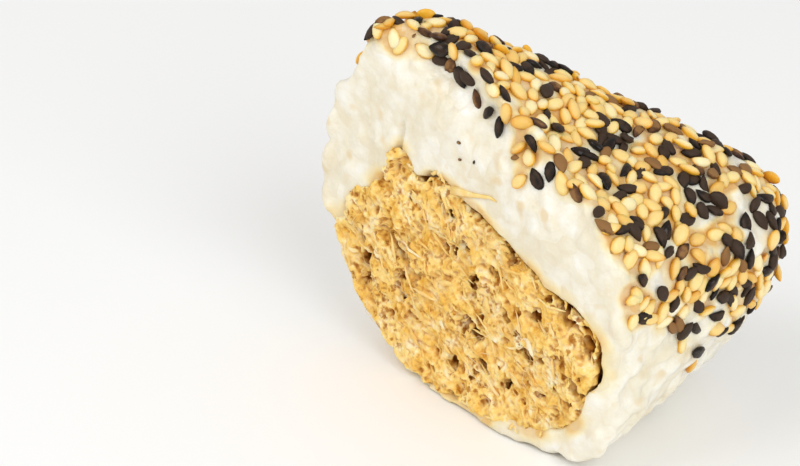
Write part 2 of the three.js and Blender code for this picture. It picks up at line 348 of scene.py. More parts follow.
def lay_copies(name, models, places):
    """One mesh of many copies. A place is (which model, its axes, point in mm, shade)."""
    shapes = [(points_of(m), [tuple(p.vertices) for p in m.data.polygons]) for m in models]
    points, faces, shades, lengthwise, crowns, first = [], [], [], [], [], 0
    for which, axes, point, shade in places:
        shape, shape_faces = shapes[which]
        points.append(shape @ axes.T + point)
        faces += [tuple(first + n for n in face) for face in shape_faces]
        shades.append(np.full(len(shape), shade))
        lengthwise.append(np.interp(shape[:, 0], (shape[:, 0].min(), shape[:, 0].max()), (0, 1)))
        crowns.append(np.interp(shape[:, 2], (shape[:, 2].min(), shape[:, 2].max()), (0, 1)))
        first += len(shape)
    mesh = bpy.data.meshes.new(name)
    mesh.from_pydata((np.concatenate(points) * MM).tolist(), [], faces)
    for attribute, values in (("shade", shades), ("lengthwise", lengthwise), ("crown", crowns)):
        mesh.attributes.new(attribute, "FLOAT", "POINT").data.foreach_set("value", np.concatenate(values))
    mesh.shade_smooth()
    obj = bpy.data.objects.new(name, mesh)
    bpy.context.scene.collection.objects.link(obj)
    return obj


def near_hollow(points, margin):
    """Which of the points are within `margin` mm of the hollow's wall."""
    return np.array([(hollow_surface.find_nearest(Vector(p) * MM)[3] or 1) < margin * MM for p in points])


def outside(surface, point):
    """How far outside a closed surface a point is, in mm: below 0 inside it."""
    place = Vector(point) * MM
    near, normal, _, _ = surface.find_nearest(place)
    return (place - near).dot(normal) / MM


def past_rim(point):
    """How far outside the hollow a point is, in mm, measured across the cut: below 0 inside it."""
    return outside(hollow_surface, (point[0], max(point[1], CUT + 1), point[2]))


def above_skin(point):
    """How far outside the block's skin a point is, in mm: below 0 inside it."""
    return outside(core_surface, point)


def join(base, part):
    """Joins a part to the base."""
    bpy.ops.object.select_all(action="DESELECT")
    part.select_set(True)
    base.select_set(True)
    bpy.context.view_layer.objects.active = base
    bpy.ops.object.join()


bpy.ops.mesh.primitive_uv_sphere_add(segments=12, ring_count=8, radius=0.5 * MM)
grain = named("grain")
grain.data.transform(Matrix.Rotation(math.radians(90), 4, "Y"))
grain.data.transform(Matrix.Diagonal((*GRAIN, 1)))
roll = random.Random(4)
grain_places = []
found = spread_over(rice_core, 2.75, 16000, 11, lambda p, n: ~near_hollow(p, HOLLOW_GAP + 0.35))
for point, normal in zip(*found):
    if normal[1] < -0.75:
        smeared = smoothstep(lumps(point[None] + 60, 9)[0], -0.25, 0.35)
        smeared *= smoothstep(top_line(point[0]) - point[2], 3, 9)
        stands, tilt = roll.uniform(0.0, 0.55) * (1 - 0.7 * smeared), 0.16
    elif normal[2] < -0.8:
        stands, tilt = roll.uniform(0.1, 0.34), 0.1
    elif normal[2] > 0.7:
        stands, tilt = roll.uniform(0.1, 0.4), 0.2
    else:
        stands, tilt = roll.uniform(0.2, 0.85), 0.25
    size = roll.uniform(0.85, 1.1)
    middle = point + normal * (stands - GRAIN[2] / 2 * size)
    # Of a few ways to lie, the grain takes the one that keeps its ends in the block.
    lies = []
    for _ in range(5):
        axes = frame_on(normal, roll.gauss(0, 0.9))
        tipped = np.array(turn_about(axes, 1, roll.gauss(0, tilt)))
        longer = size * roll.uniform(0.8, 1.0)
        axes = tipped @ axes * (longer, size, size)
        end = axes[:, 0] * GRAIN[0] * 0.42
        lies.append((max(above_skin(middle + end), above_skin(middle - end)), len(lies), axes))
    poking, _, axes = min(lies)
    end = axes[:, 0] * GRAIN[0] * 0.45
    if poking < 0.35 and min(past_rim(middle + end), past_rim(middle - end), past_rim(middle)) > 0.5:
        grain_places.append((0, axes, middle, 0))
grains = lay_copies("grains", [grain], grain_places)
bpy.data.objects.remove(grain)

join(rice_core, grains)
rice = named("rice_block")
modify(rice, "REMESH", mode="VOXEL", voxel_size=0.4 * MM)
modify(rice, "SMOOTH", factor=0.5, iterations=2)
skin = points_of(rice)
# A crease runs up the cut from the top of the filling.
crease = np.exp(-(((skin[:, 0] + 14.3 - 0.12 * (skin[:, 2] - 33)) / 0.6) ** 2))
crease *= smoothstep(skin[:, 2], 31, 33) * (1 - smoothstep(skin[:, 2], 35.5, 39.5)) * (skin[:, 1] < CUT + 3)
skin[:, 1] = np.maximum(skin[:, 1] + 0.9 * crease, CUT - 1.7)
skin[:, 2] = np.maximum(skin[:, 2], 0.0)
move_points(rice, skin)
rice.data.shade_smooth()


def linear(hex_colour):
    """An sRGB hex colour as the linear colour that a shader takes."""
    parts = [int(hex_colour[n:n + 2], 16) / 255 for n in (1, 3, 5)]
    return (*[p / 12.92 if p <= 0.04045 else ((p + 0.055) / 1.055) ** 2.4 for p in parts], 1)


def add_node(material, kind, inputs=None, stops=(), **settings):
    """Adds a shader node with its settings, its inputs as values or as links from other sockets, and for a
    colour ramp its stops as (place, hex colour)."""
    made = material.node_tree.nodes.new(kind)
    for name, value in settings.items():
        setattr(made, name, value)
    for name, value in (inputs or {}).items():
        if isinstance(value, bpy.types.NodeSocket):
            material.node_tree.links.new(value, made.inputs[name])
        else:
            made.inputs[name].default_value = value
    for n, (place, colour) in enumerate(stops):
        elements = made.color_ramp.elements
        stop = elements[n] if n < len(elements) else elements.new(place)
        stop.position, stop.color = place, linear(colour)
    return made


def new_material(name):
    material = bpy.data.materials.new(name)
    material.use_nodes = True
    material.node_tree.nodes.clear()
    return material


def lay_tints(material, colour, tints):
    """Lays tints over a colour: what each follows, where it starts and is full, its strength and colour."""
    for follows, starts, full, strength, tint in tints:
        amount = add_node(material, "ShaderNodeMapRange", {
            "Value": follows, "From Min": starts, "From Max": full, "To Max": strength,
        })
        colour = add_node(material, "ShaderNodeMix", {
            "Factor": amount.outputs["Result"], "A": colour, "B": tint,
        }, data_type="RGBA").outputs["Result"]
    return colour


# Cooked rice: starchy and damp, so light goes a millimetre or two into it and it has a soft wet gloss.
cooked_rice = new_material("cooked_short_grain_rice")
place = add_node(cooked_rice, "ShaderNodeTexCoord").outputs["Object"]
cloud = add_node(cooked_rice, "ShaderNodeTexNoise", {
    "Vector": place, "Scale": 1 / 0.006, "Detail": 8.0, "Roughness": 0.72,
})
whites = add_node(cooked_rice, "ShaderNodeValToRGB", {"Fac": cloud.outputs["Fac"]}, [
    (0.34, "#EADFC4"), (0.46, "#F3ECD9"), (0.56, "#F8F4E8"), (0.7, "#FBF9F2"),
])
spots = add_node(cooked_rice, "ShaderNodeTexNoise", {"Vector": place, "Scale": 1 / 0.0032, "Detail": 1.0})
# Sauce from the filling and oil from the seeds tint the rice they touch, with painted glow and shadow too.
# Near the seeds the golden tint is partly painted glow of the light passing through them.
soak_glow_and_shade = add_node(cooked_rice, "ShaderNodeAttribute", attribute_name="soak_glow_and_shade").outputs["Fac"]
# The dark brown top stop is painted shadow, on the hollow's wall down in the gap by the filling.
stain_glow_and_shade = add_node(cooked_rice, "ShaderNodeValToRGB", {"Fac": soak_glow_and_shade}, [
    (0.25, "#FBE37C"), (0.55, "#F5CA38"), (0.9, "#DD9E1C"), (1.0, "#744010"),
])
# Each grain is a soft bump, 2.8 mm across and drawn out by the warp, under a pitted film of starch.
warp = add_node(cooked_rice, "ShaderNodeTexNoise", {"Vector": place, "Scale": 1 / 0.005, "Detail": 1.0})
drawn_out = add_node(cooked_rice, "ShaderNodeVectorMath", {
    0: warp.outputs["Color"], 1: (0.004, 0.004, 0.004),
}, operation="MULTIPLY")
warped = add_node(cooked_rice, "ShaderNodeVectorMath", {
    0: place, 1: drawn_out.outputs["Vector"],
}, operation="ADD")
kernels = add_node(cooked_rice, "ShaderNodeTexVoronoi", {
    "Vector": warped.outputs["Vector"], "Scale": 1 / 0.0028, "Smoothness": 0.1,
}, feature="SMOOTH_F1")
# It has tan stains, clearer grains let more of the dark through, and painted shade darkens it between
# grains.
mottled = lay_tints(cooked_rice, whites.outputs["Color"], [
    (spots.outputs["Fac"], 0.62, 0.74, 0.6, linear("#E6C687")),
    (soak_glow_and_shade, 0.0, 1.0, 1.0, stain_glow_and_shade.outputs["Color"]),
    (kernels.outputs["Color"], 0.4, 0.75, 0.45, linear("#E6D9B8")),
    (kernels.outputs["Distance"], 0.3, 0.75, 0.3, linear("#E2D2AE")),
])
soft = add_node(cooked_rice, "ShaderNodeBump", {
    "Height": kernels.outputs["Distance"], "Strength": 0.5, "Distance": 0.0006,
}, invert=True)
starch = add_node(cooked_rice, "ShaderNodeTexNoise", {"Vector": place, "Scale": 1 / 0.0009, "Detail": 3.0})
pits = add_node(cooked_rice, "ShaderNodeBump", {
    "Height": starch.outputs["Fac"], "Strength": 0.4, "Distance": 0.0004, "Normal": soft.outputs["Normal"],
})
surface = add_node(cooked_rice, "ShaderNodeBsdfPrincipled", {
    "Base Color": mottled, "Roughness": 0.36, "IOR": 1.38, "Coat Weight": 0.3, "Coat Roughness": 0.14,
    "Subsurface Weight": 0.28, "Subsurface Scale": 0.0014, "Subsurface Radius": (1.0, 0.9, 0.75),
    "Normal": pits.outputs["Normal"], "Coat Normal": pits.outputs["Normal"],
})
add_node(cooked_rice, "ShaderNodeOutputMaterial", {"Surface": surface.outputs["BSDF"]})
rice.data.materials.append(cooked_rice)

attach(rice, "root")
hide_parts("rice")


# ---- Filling ---------------------------------------------------------------------------------------------
# Cooked meat torn into shreds and dressed, packed in the hollow. The knife leaves its face ragged: clumps
# of damp fibres with dark gaps between them, and most of it is one spongy mass.

bpy.ops.object.select_all(action="DESELECT")
filling = add_mound("filling_mass", 2)
modify(filling, "REMESH", mode="VOXEL", voxel_size=0.5 * MM)
wall = points_of(filling)
move_points(filling, wall + broken_edge(wall) + settled(wall))


def trim_to_skin(points, under):
    """Points that lie outside the block's skin go back to `under` mm below it."""
    trimmed = points.copy()
    for n, p in enumerate(points):
        near, normal, _, _ = core_surface.find_nearest(Vector(p) * MM)
        inside = (Vector(p) * MM - near).dot(normal) / MM
        if inside > -under and p[1] > CUT + 1.0:
            trimmed[n] = p - np.array(normal) * (inside + under)
    return trimmed


mass = points_of(filling)
move_points(filling, trim_to_skin(mass, 0.25))
modify(filling, "REMESH", mode="VOXEL", voxel_size=0.27 * MM)


def turned_in_face(points, angle):
    """The points turned about Y, so that a pattern along X runs at `angle` on the cut."""
    x, y, z = points.T
    cos, sin = math.cos(angle), math.sin(angle)
    return np.stack((x * cos - z * sin, y, x * sin + z * cos), axis=1)


FACE = CUT + 1.6  # y of the filling's torn face, on the whole
# Points all round the hollow's rim, and which of them lie along its upper edge and which have rice behind.
hollow_rim = rounded_outline(HOLLOW_OUTLINE, 8)
upper_rim = (hollow_rim[:, 1] > 12 + 0.1 * hollow_rim[:, 0]) & (hollow_rim[:, 0] > -9)
rim_in_rice = np.array([above_skin((x, FACE, z)) < -1 for x, z in hollow_rim])


def across_face(points, rim):
    """Distance in mm, measured across the face, from part of the hollow's rim."""
    return np.min(np.hypot(points[:, 0, None] - rim[:, 0], points[:, 2, None] - rim[:, 1]), axis=1)


def from_upper_rim(points):
    """Distance from the upper edge of the filling's face, which is where it has come away from the rice."""
    return across_face(points, hollow_rim[upper_rim])


def clinging(points):
    """From 1 where the filling clings to the rice, along the rest of the rim, to 0 away from there."""
    near = 1 - smoothstep(across_face(points, hollow_rim[rim_in_rice & ~upper_rim]), 0.3, 1.8)
    return near * smoothstep(from_upper_rim(points), 1, 3)


# Along its upper edge it has shrunk from the rice, more in some places than in others.
mass = points_of(filling)
shrunk = 0.9 * (1 - smoothstep(from_upper_rim(mass), 0, 3.2))
shrunk *= smoothstep(lumps(mass * (1, 0.3, 1) + 21, 4.5), -0.5, 0.2)
shrunk -= 0.32 * clinging(mass)
shrunk *= 1 - smoothstep(mass[:, 1], CUT + 4, CUT + 8)
to_heart = np.array((HOLLOW_HEART[0], 0, HOLLOW_HEART[1])) - mass * (1, 0, 1)
mass += to_heart / np.maximum(np.linalg.norm(to_heart, axis=1), 1)[:, None] * shrunk[:, None]

# Where clumps have pulled away and left dark holes: x, z and half width of each in mm.
HOLES = [
    (-5.3, 30.0, 0.9), (-3.9, 28.4, 1.3), (-9.6, 22.0, 0.5), (-3.2, 22.9, 0.7), (1.8, 20.5, 0.9),
    (7.4, 28.0, 0.8), (9.2, 27.0, 1.2), (7.5, 22.1, 0.7), (13.2, 24.7, 1.0), (15.4, 23.7, 0.8),
    (18.3, 23.3, 1.2), (22.4, 20.8, 0.7), (24.2, 14.8, 0.6), (16.0, 14.5, 0.8), (12.2, 13.9, 0.6),
    (3.2, 12.4, 1.1), (-12.7, 13.5, 1.1), (-0.4, 5.7, 1.1), (-18.5, 10.5, 0.8), (9.3, 6.2, 0.7),
    (-20.8, 17.2, 0.8),
]


def torn_relief(points):
    """How far the ragged face stands out, in mm, and how deep in a hole each point is, from 0 to 1."""
    warp = np.stack([lumps(points + shift, 3.1) for shift in (7, 19, 31)], axis=1)
    warp += 0.5 * np.stack([lumps(points + shift, 1.3) for shift in (3, 23, 47)], axis=1)
    p = points + warp
    turned = turned_in_face(p, math.radians(35))
    clumps = lumps(points + (0, 17, 0), 8)
    shreds = 1 - 2 * np.abs(lumps(turned * (0.5, 1, 1), 3.0))
    knobs = lumps(p + 41, 2.3)
    from_rim = from_upper_rim(points)
    loose = 0.65 * (1 - smoothstep(from_rim, 0.5, 2.1)) * smoothstep(lumps(points + 77, 3), -0.35, 0.1)
    loose += 0.15 * (1 - smoothstep(from_rim, 3, 10))
    gaps = 0.8 * smoothstep(lumps(turned * (0.6, 1, 1) + 53, 2.4) + loose, 0.3, 0.55)
    gaps = np.maximum(gaps, 0.4 * smoothstep(lumps(p + 71, 1.3), 0.3, 0.6))
    for x, z, reach in HOLES:
        away = np.hypot(p[:, 0] - x, p[:, 2] - z) / reach
        gaps = np.maximum(gaps, 1 - smoothstep(away, 0.4, 1.3))
    # It is thin where it comes out at the side, and nothing has torn through it there.
    near_side = np.flatnonzero((points[:, 0] < -12) & (points[:, 1] < CUT + 4))
    thickness = np.array([-above_skin((x, FACE, z)) for x, _, z in points[near_side]])
    gaps[near_side] *= smoothstep(thickness, 0.4, 2.0)
    # Strands still cross the gaps, lower down, most of all towards the two ends of the face.
    across_gaps = smoothstep(1 - 2 * np.abs(lumps(turned * (0.3, 1, 1) + 5, 1.5)), 0.3, 0.9)
    across_gaps *= np.interp(points[:, 0], (-9, -5, 16, 20), (1, 0.15, 0.15, 1))
    out = 0.05 + 0.5 * clumps + 0.35 * shreds + 0.5 * knobs - 2.8 * gaps * (1 - 0.5 * across_gaps)
    return out, np.clip(gaps + 0.1 * (1 - shreds), 0, 1)


out, gap = torn_relief(mass)
on_face = smoothstep(CUT + 0.6 - mass[:, 1], 0, 2.2)
mass[:, 1] -= (out - 2.0) * on_face
mass[:, 2] = np.maximum(mass[:, 2], 0.05)
move_points(filling, mass)


def within_block(point, margin):
    """Whether a place on the torn face is at least `margin` mm inside the block's outline."""
    return above_skin((point[0], max(point[1], FACE), point[2])) < -margin and point[2] > margin


def add_shred(name, sides, stations):
    """A closed strip of fibres along X. Stations are (x, y, z, width, thickness) in mm, from end to end."""
    x, y, z, width, thickness = stations[0]
    bpy.ops.mesh.primitive_circle_add(
        vertices=sides, radius=0.5 * MM, fill_type="NGON", location=(x * MM, y * MM, z * MM),
        rotation=(0, math.radians(90), 0),
    )
    obj = named(name)
    edit(obj)
    was = (x, y, z, 1, 1)
    for station in stations:
        if station is not stations[0]:
            step = [(a - b) * MM for a, b in zip(station[:3], was[:3])]
            bpy.ops.mesh.extrude_region_move(TRANSFORM_OT_translate={"value": step})
        here = [value * MM for value in station[:3]]
        bpy.ops.transform.resize(value=(1, station[3] / was[3], station[4] / was[4]), center_override=here)
        was = station
    bpy.ops.mesh.select_all(action="SELECT")
    bpy.ops.mesh.normals_make_consistent(inside=False)
    leave_edit()
    return obj


def random_shred(name, sides, length, width, thickness, steps, wander, blunt):
    """A strip of fibres that narrows to torn ends and wanders sideways."""
    stations, y, z = [], 0.0, 0.0
    for n in range(steps + 1):
        t = n / steps
        full = max(blunt, math.sin(math.pi * t) ** 0.6) * roll.uniform(0.75, 1.15)
        stations.append(((t - 0.5) * length, y, z, width * full, thickness * full))
        y += roll.gauss(0, wander)
        z += roll.gauss(0.0, wander * 0.6) - 0.9 * wander * (t - 0.45)
    return add_shred(name, sides, stations)


def lie_of_fibres(point):
    """Which way the fibres run at a place on the face: clumps of them lie at different angles."""
    here = np.array([point])
    return math.radians(-38 + 75 * lumps(here + 91, 7.5)[0] + 40 * lumps(here + 13, 2.6)[0])


# Bundles of strands, and crumbs between them, grow out of the mass and are fused into it.
roll = random.Random(31)
STRAND = dict(sides=5, length=3.8, width=0.5, thickness=0.42, steps=6, wander=0.1, blunt=0.35)
CRUMB = dict(sides=5, length=0.95, width=0.85, thickness=0.7, steps=2, wander=0.12, blunt=0.75)
strands = [random_shred("strand", **STRAND) for _ in range(5)]
crumbs = [random_shred("crumb", **CRUMB) for _ in range(4)]


def spots_on_face(spacing, tries, seed):
    """Places on the torn face, with the way it faces there and whether it is clear of the holes."""
    spots, normals = spread_over(
        filling, spacing, tries, seed, lambda p, n: (p[:, 1] < CUT + 1.2) & (n[:, 1] < 0.1),
    )
    facing = np.array((0, -1.0, 0)) + 0.45 * normals
    facing /= np.linalg.norm(facing, axis=1)[:, None]
    return zip(spots, normals, facing, torn_relief(spots)[1])


placed_clumps = []
for point, normal, facing, hole in spots_on_face(2.5, 20000, 5):
    axes = frame_on(facing, lie_of_fibres(point) + roll.gauss(0, 0.25))
    count = roll.randint(3, 6)
    for n in range(count):
        across = (n - (count - 1) / 2) * 0.46
        shift = axes @ (roll.gauss(0, 0.5), across, roll.uniform(-0.22, 0.12) - 0.05 * across**2)
        lean = turn_about(axes, 2, roll.gauss(0, 0.13)) @ turn_about(axes, 1, roll.gauss(0, 0.12))
        size = roll.uniform(0.65, 1.15)
        reach = axes[:, 0] * 1.7 * size
        if max(past_rim(point + shift + reach), past_rim(point + shift - reach)) > 0.15:
            continue
        if hole < 0.35 and within_block(point + shift, 0.9):
            which = roll.randrange(len(strands))
            placed_clumps.append((which, np.array(lean) @ axes * size, point + shift, 0))
for point, normal, facing, hole in spots_on_face(0.95, 60000, 7):
    axes = frame_on(facing, roll.uniform(0, 3.1)) * roll.uniform(0.6, 1.25)
    if hole < 0.6 and within_block(point, 0.8):
        which = len(strands) + roll.randrange(len(crumbs))
        placed_clumps.append((which, axes, point + normal * roll.uniform(-0.3, 0.1), 0))
join(filling, lay_copies("clumps", strands + crumbs, placed_clumps))
for model in strands + crumbs:
    bpy.data.objects.remove(model)
modify(filling, "REMESH", mode="VOXEL", voxel_size=0.215 * MM)
modify(filling, "SMOOTH", factor=0.5, iterations=1)
# Specks that hang by themselves before the face are dropped: what is joined to the back stays.
edit(filling)
bpy.ops.mesh.select_all(action="DESELECT")
bpy.ops.object.mode_set(mode="OBJECT")
filling.data.vertices[int(np.argmax(points_of(filling)[:, 1]))].select = True
bpy.ops.object.mode_set(mode="EDIT")
bpy.ops.mesh.select_linked()
bpy.ops.mesh.select_all(action="INVERT")
bpy.ops.mesh.delete(type="VERT")
leave_edit()
filling.data.shade_smooth()


def hollows_of(obj, reach):
    """How far each point lies below the smoothed surface around it, in mm: above 0 in a hollow."""
    smoothed = obj.copy()
    smoothed.data = obj.data.copy()
    bpy.context.scene.collection.objects.link(smoothed)
    modify(smoothed, "SMOOTH", factor=0.9, iterations=reach)
    deep = np.sum((points_of(smoothed) - points_of(obj)) * normals_of(smoothed), axis=1)
    bpy.data.objects.remove(smoothed)
    return deep


# Between the clumps it is fibrous and crumbly at half a millimetre.
mass, facing = points_of(filling), normals_of(filling)
lie = turned_in_face(mass + 0.5 * lumps(mass, 2.5)[:, None], math.radians(30))
fine = 0.13 * (1 - 2 * np.abs(lumps(lie * (0.35, 1, 1), 0.75)))
fine += 0.15 * (2 * np.abs(lumps(mass + 37, 0.85)) - 1)
mass += facing * (fine * smoothstep(CUT + 3.5 - mass[:, 1], 0, 1.5))[:, None]
stray = np.array([above_skin((x, max(y, FACE), z)) for x, y, z in mass]) > -0.1
in_face = trim_to_skin(mass[stray] * (1, 0, 1) + (0, CUT + 1.7, 0), 0.1) * (1, 0, 1)
mass[stray] = in_face + mass[stray] * (0, 1, 0)
mass[:, 1] = np.maximum(mass[:, 1], CUT - 1.75)
mass[:, 2] = np.maximum(mass[:, 2], 0.05)
move_points(filling, mass)
# Painted shadow behind the torn face, where it has shrunk from the rice: less where it clings, none by the
# skin.
behind_face = smoothstep(mass[:, 1], CUT + 0.2, CUT + 2.6) * (mass[:, 1] < CUT + 4)
behind_face *= 1 - 0.6 * clinging(mass)
near_skin = [behind > 0 and above_skin(p) > -0.9 for p, behind in zip(mass, behind_face)]
behind_face[near_skin] = 0
# Painted shade: dark brown deep in the hollows of the mass and behind the face, amber in its fine crevices.
gap = np.clip(0.9 * smoothstep(hollows_of(filling, 25), 0.08, 0.5) + 0.9 * behind_face, 0, 1)
crevice_shade = smoothstep(hollows_of(filling, 5), -0.01, 0.09)
for attribute, values in (("gap", gap), ("crevice_shade", crevice_shade)):
    filling.data.attributes.new(attribute, "FLOAT", "POINT").data.foreach_set("value", values)

# The hidden back of the mass needs no such fine mesh.
hidden = filling.vertex_groups.new(name="hidden")
hidden.add([int(n) for n in np.flatnonzero(mass[:, 1] > CUT + 4.5)], 1.0, "REPLACE")
modify(filling, "DECIMATE", ratio=0.6, vertex_group="hidden")

# Shredded cooked meat: matt and damp, golden tan, with painted shade, amber to dark brown, where it is torn
# deep.
shredded_meat = new_material("shredded_cooked_meat")
place = add_node(shredded_meat, "ShaderNodeTexCoord").outputs["Object"]
tone = add_node(shredded_meat, "ShaderNodeTexNoise", {
    "Vector": place, "Scale": 1 / 0.0028, "Detail": 4.0, "Roughness": 0.7,
})
tans = add_node(shredded_meat, "ShaderNodeValToRGB", {"Fac": tone.outputs["Fac"]}, [
    (0.3, "#E4AC44"), (0.42, "#F7CA6A"), (0.54, "#FFDE90"), (0.66, "#FFF0C6"),
])
sinew = add_node(shredded_meat, "ShaderNodeTexNoise", {"Vector": place, "Scale": 1 / 0.0045, "Detail": 2.0})
crevice_shade_input = add_node(shredded_meat, "ShaderNodeAttribute", attribute_name="crevice_shade")
deep = add_node(shredded_meat, "ShaderNodeAttribute", attribute_name="gap")
# In its spongy parts it is full of pores half a millimetre wide, darkened amber with painted shade.
pores = add_node(shredded_meat, "ShaderNodeTexNoise", {"Vector": place, "Scale": 1 / 0.0009, "Detail": 2.0})
pore = add_node(shredded_meat, "ShaderNodeMapRange", {
    "Value": pores.outputs["Fac"], "From Min": 0.55, "From Max": 0.67, "To Max": 0.8,
})
sponge = add_node(shredded_meat, "ShaderNodeTexNoise", {"Vector": place, "Scale": 1 / 0.006, "Detail": 1.0})
spongy = add_node(shredded_meat, "ShaderNodeMapRange", {
    "Value": sponge.outputs["Fac"], "From Min": 0.42, "From Max": 0.56, "To Min": 0.15,
})
porous = add_node(shredded_meat, "ShaderNodeMath", {
    0: pore.outputs["Result"], 1: spongy.outputs["Result"],
}, operation="MULTIPLY")
# Sinew is greyer; painted shade makes crevices and pores amber, and down in the gaps amber and then dark
# brown.
tinted_and_shaded = lay_tints(shredded_meat, tans.outputs["Color"], [
    (sinew.outputs["Fac"], 0.58, 0.74, 0.5, linear("#D2A45A")),
    (crevice_shade_input.outputs["Fac"], 0.0, 1.0, 0.55, linear("#BC6E14")),
    (porous.outputs["Value"], 0.0, 1.0, 1.0, linear("#A9620F")),
    (deep.outputs["Fac"], 0.0, 0.7, 1.0, linear("#A8651A")),
    (deep.outputs["Fac"], 0.5, 1.0, 1.0, linear("#4A2402")),
])
fibres = add_node(shredded_meat, "ShaderNodeTexNoise", {
    "Vector": place, "Scale": 1 / 0.00045, "Detail": 2.0,
})
rough = add_node(shredded_meat, "ShaderNodeBump", {
    "Height": fibres.outputs["Fac"], "Strength": 0.6, "Distance": 0.0003,
})
pitted = add_node(shredded_meat, "ShaderNodeBump", {
    "Height": porous.outputs["Value"], "Strength": 0.5, "Distance": 0.0004,
    "Normal": rough.outputs["Normal"],
}, invert=True)
surface = add_node(shredded_meat, "ShaderNodeBsdfPrincipled", {
    "Base Color": tinted_and_shaded, "Roughness": 0.5, "IOR": 1.4, "Specular IOR Level": 0.1,
    "Subsurface Weight": 0.25, "Subsurface Scale": 0.0008, "Subsurface Radius": (1.0, 0.6, 0.3),
    "Normal": pitted.outputs["Normal"],
})
add_node(shredded_meat, "ShaderNodeOutputMaterial", {"Surface": surface.outputs["BSDF"]})
filling.data.materials.append(shredded_meat)

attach(filling, "root")
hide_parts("filling")


# ---- Loose shreds ----------------------------------------------------------------------------------------
# Fibres and flakes of the same meat, which the knife pulled out of the face. Bundles of fibres lie along
# the shreds, short thick flakes stand between them, and a few pale threads lie on top.

SHRED = dict(sides=5, width=0.6, thickness=0.4, steps=7, wander=0.2, blunt=0.25)
FLAKE = dict(sides=6, length=3.0, width=1.3, thickness=0.35, steps=5, wander=0.2, blunt=0.3)
RIM_CRUMB = dict(sides=5, length=1.6, width=0.7, thickness=0.3, steps=5, wander=0.22, blunt=0.5)
THREAD = dict(sides=3, length=4.5, width=0.12, thickness=0.1, steps=10, wander=0.32, blunt=0.4)
shred_models = [random_shred("shred", length=length, **SHRED) for length in (3.4, 4.2, 5.0, 5.8, 6.4)]
shred_models += [random_shred("flake", **FLAKE) for _ in range(4)]
shred_models += [random_shred("rim_crumb", **RIM_CRUMB) for _ in range(3)]
shred_models += [add_shred("wisp", 6, [
    (-4.2, -1.3, 0, 1.3, 0.5), (-2.2, -0.8, 0.05, 1.2, 0.45), (-0.2, -0.3, 0.08, 0.8, 0.35),
    (1.6, 0.3, 0.1, 0.6, 0.3), (3.2, 0.8, 0.08, 0.55, 0.25), (4.4, 0.7, 0.0, 0.25, 0.15),
])]
FIBRES_AND_FLAKES, RIM_CRUMBS, WISP = (0, 1, 2, 3, 4, 0, 1, 2, 3, 4, 5, 6, 7, 8), (9, 10, 11), 12
thread_models = [random_shred("thread", **THREAD) for _ in range(5)]


def ends_inside(point, axes, half):
    """Whether both ends of something on the face, `half` mm from its middle, are inside the rim."""
    end = axes[:, 0] * half
    return max(past_rim(point + end), past_rim(point - end), past_rim(point)) < -0.3


spots, spot_normals = spread_over(
    filling, 2.5, 20000, 6, lambda p, n: (p[:, 1] < CUT + 0.9) & (n[:, 1] < -0.1),
)
placed_shreds = []
for point, normal in zip(spots, spot_normals):
    facing = np.array((0, -1.0, 0)) + 0.5 * normal
    axes = frame_on(facing / np.linalg.norm(facing), lie_of_fibres(point) + roll.gauss(0, 0.35))
    axes = np.array(turn_about(axes, 1, roll.gauss(0, 0.15))) @ axes * roll.uniform(0.55, 0.95)
    if within_block(point, 1.3) and ends_inside(point, axes, 2.4):
        which = roll.choice(FIBRES_AND_FLAKES)
        point = point + normal * roll.uniform(-0.12, 0.12)
        placed_shreds.append((which, axes, point, roll.gauss(0.64, 0.18)))
# Some lie over the edge of the rice, and a few were dragged out onto it: which, x, z, turn and size.
DRAGGED = [
    (WISP, 1.3, 33.3, 0.0, 1.0), (9, -6.6, 33.0, 0.6, 0.9), (10, -5.0, 32.6, 2.6, 0.9),
    (11, -3.4, 32.2, 0.1, 1.0), (9, 12.2, 2.3, 0.9, 0.9), (10, 13.0, 2.1, 2.4, 0.7),
    (9, 17.0, 3.2, 1.2, 0.7), (11, 8.2, 2.0, 0.4, 0.7),
]
for which, x, z, turn, size in DRAGGED:
    y = CUT + knife_relief(np.array([x]), np.array([z]))[0] + settled(np.array([[x, CUT, z]]))[0, 1]
    y -= 0.12
    placed_shreds.append((which, frame_on((0, -1.0, 0), turn) * size, np.array((x, y, z)), 0.75))
rim = hollow_rim + 0.9 * np.array([broken_edge(np.array([[x, CUT, z]]))[0, [0, 2]] for x, z in hollow_rim])
for rim_x, rim_z in rim:
    x, z = rim_x + roll.gauss(0, 0.35), rim_z + roll.gauss(0, 0.35)
    turn, size = roll.uniform(0, 3.1), roll.uniform(0.35, 0.8)
    if roll.random() < 0.45 and z > 1.5 and within_block((x, CUT, z), 1.4) and past_rim((x, CUT, z)) < 0.3:
        y = CUT + settled(np.array([[x, CUT, z]]))[0, 1] + roll.uniform(0.0, 0.5)
        which, axes = RIM_CRUMBS[roll.randrange(3)], frame_on((0, -1.0, 0), turn) * size
        placed_shreds.append((which, axes, np.array((x, y, z)), roll.gauss(0.6, 0.15)))
filling_shreds = lay_copies("filling_shreds", shred_models, placed_shreds)

spots, spot_normals = spread_over(
    filling, 2.4, 12000, 8, lambda p, n: (p[:, 1] < CUT + 0.4) & (n[:, 1] < -0.3),
)
placed_threads = []
for point, normal in zip(spots, spot_normals):
    axes = frame_on((0, -1.0, 0), lie_of_fibres(point) + roll.gauss(0, 0.6))
    if within_block(point, 1.5) and ends_inside(point, axes, 2):
        which, axes = roll.randrange(5), axes * roll.uniform(0.5, 1.0)
        placed_threads.append((which, axes, point + normal * 0.2, roll.uniform(0.8, 1.0)))
filling_threads = lay_copies("filling_threads", thread_models, placed_threads)
for shreds in (filling_shreds, filling_threads):
    move_points(shreds, np.maximum(points_of(shreds), (-math.inf, CUT - 1.8, 0.1)))
for model in shred_models + thread_models:
    bpy.data.objects.remove(model)

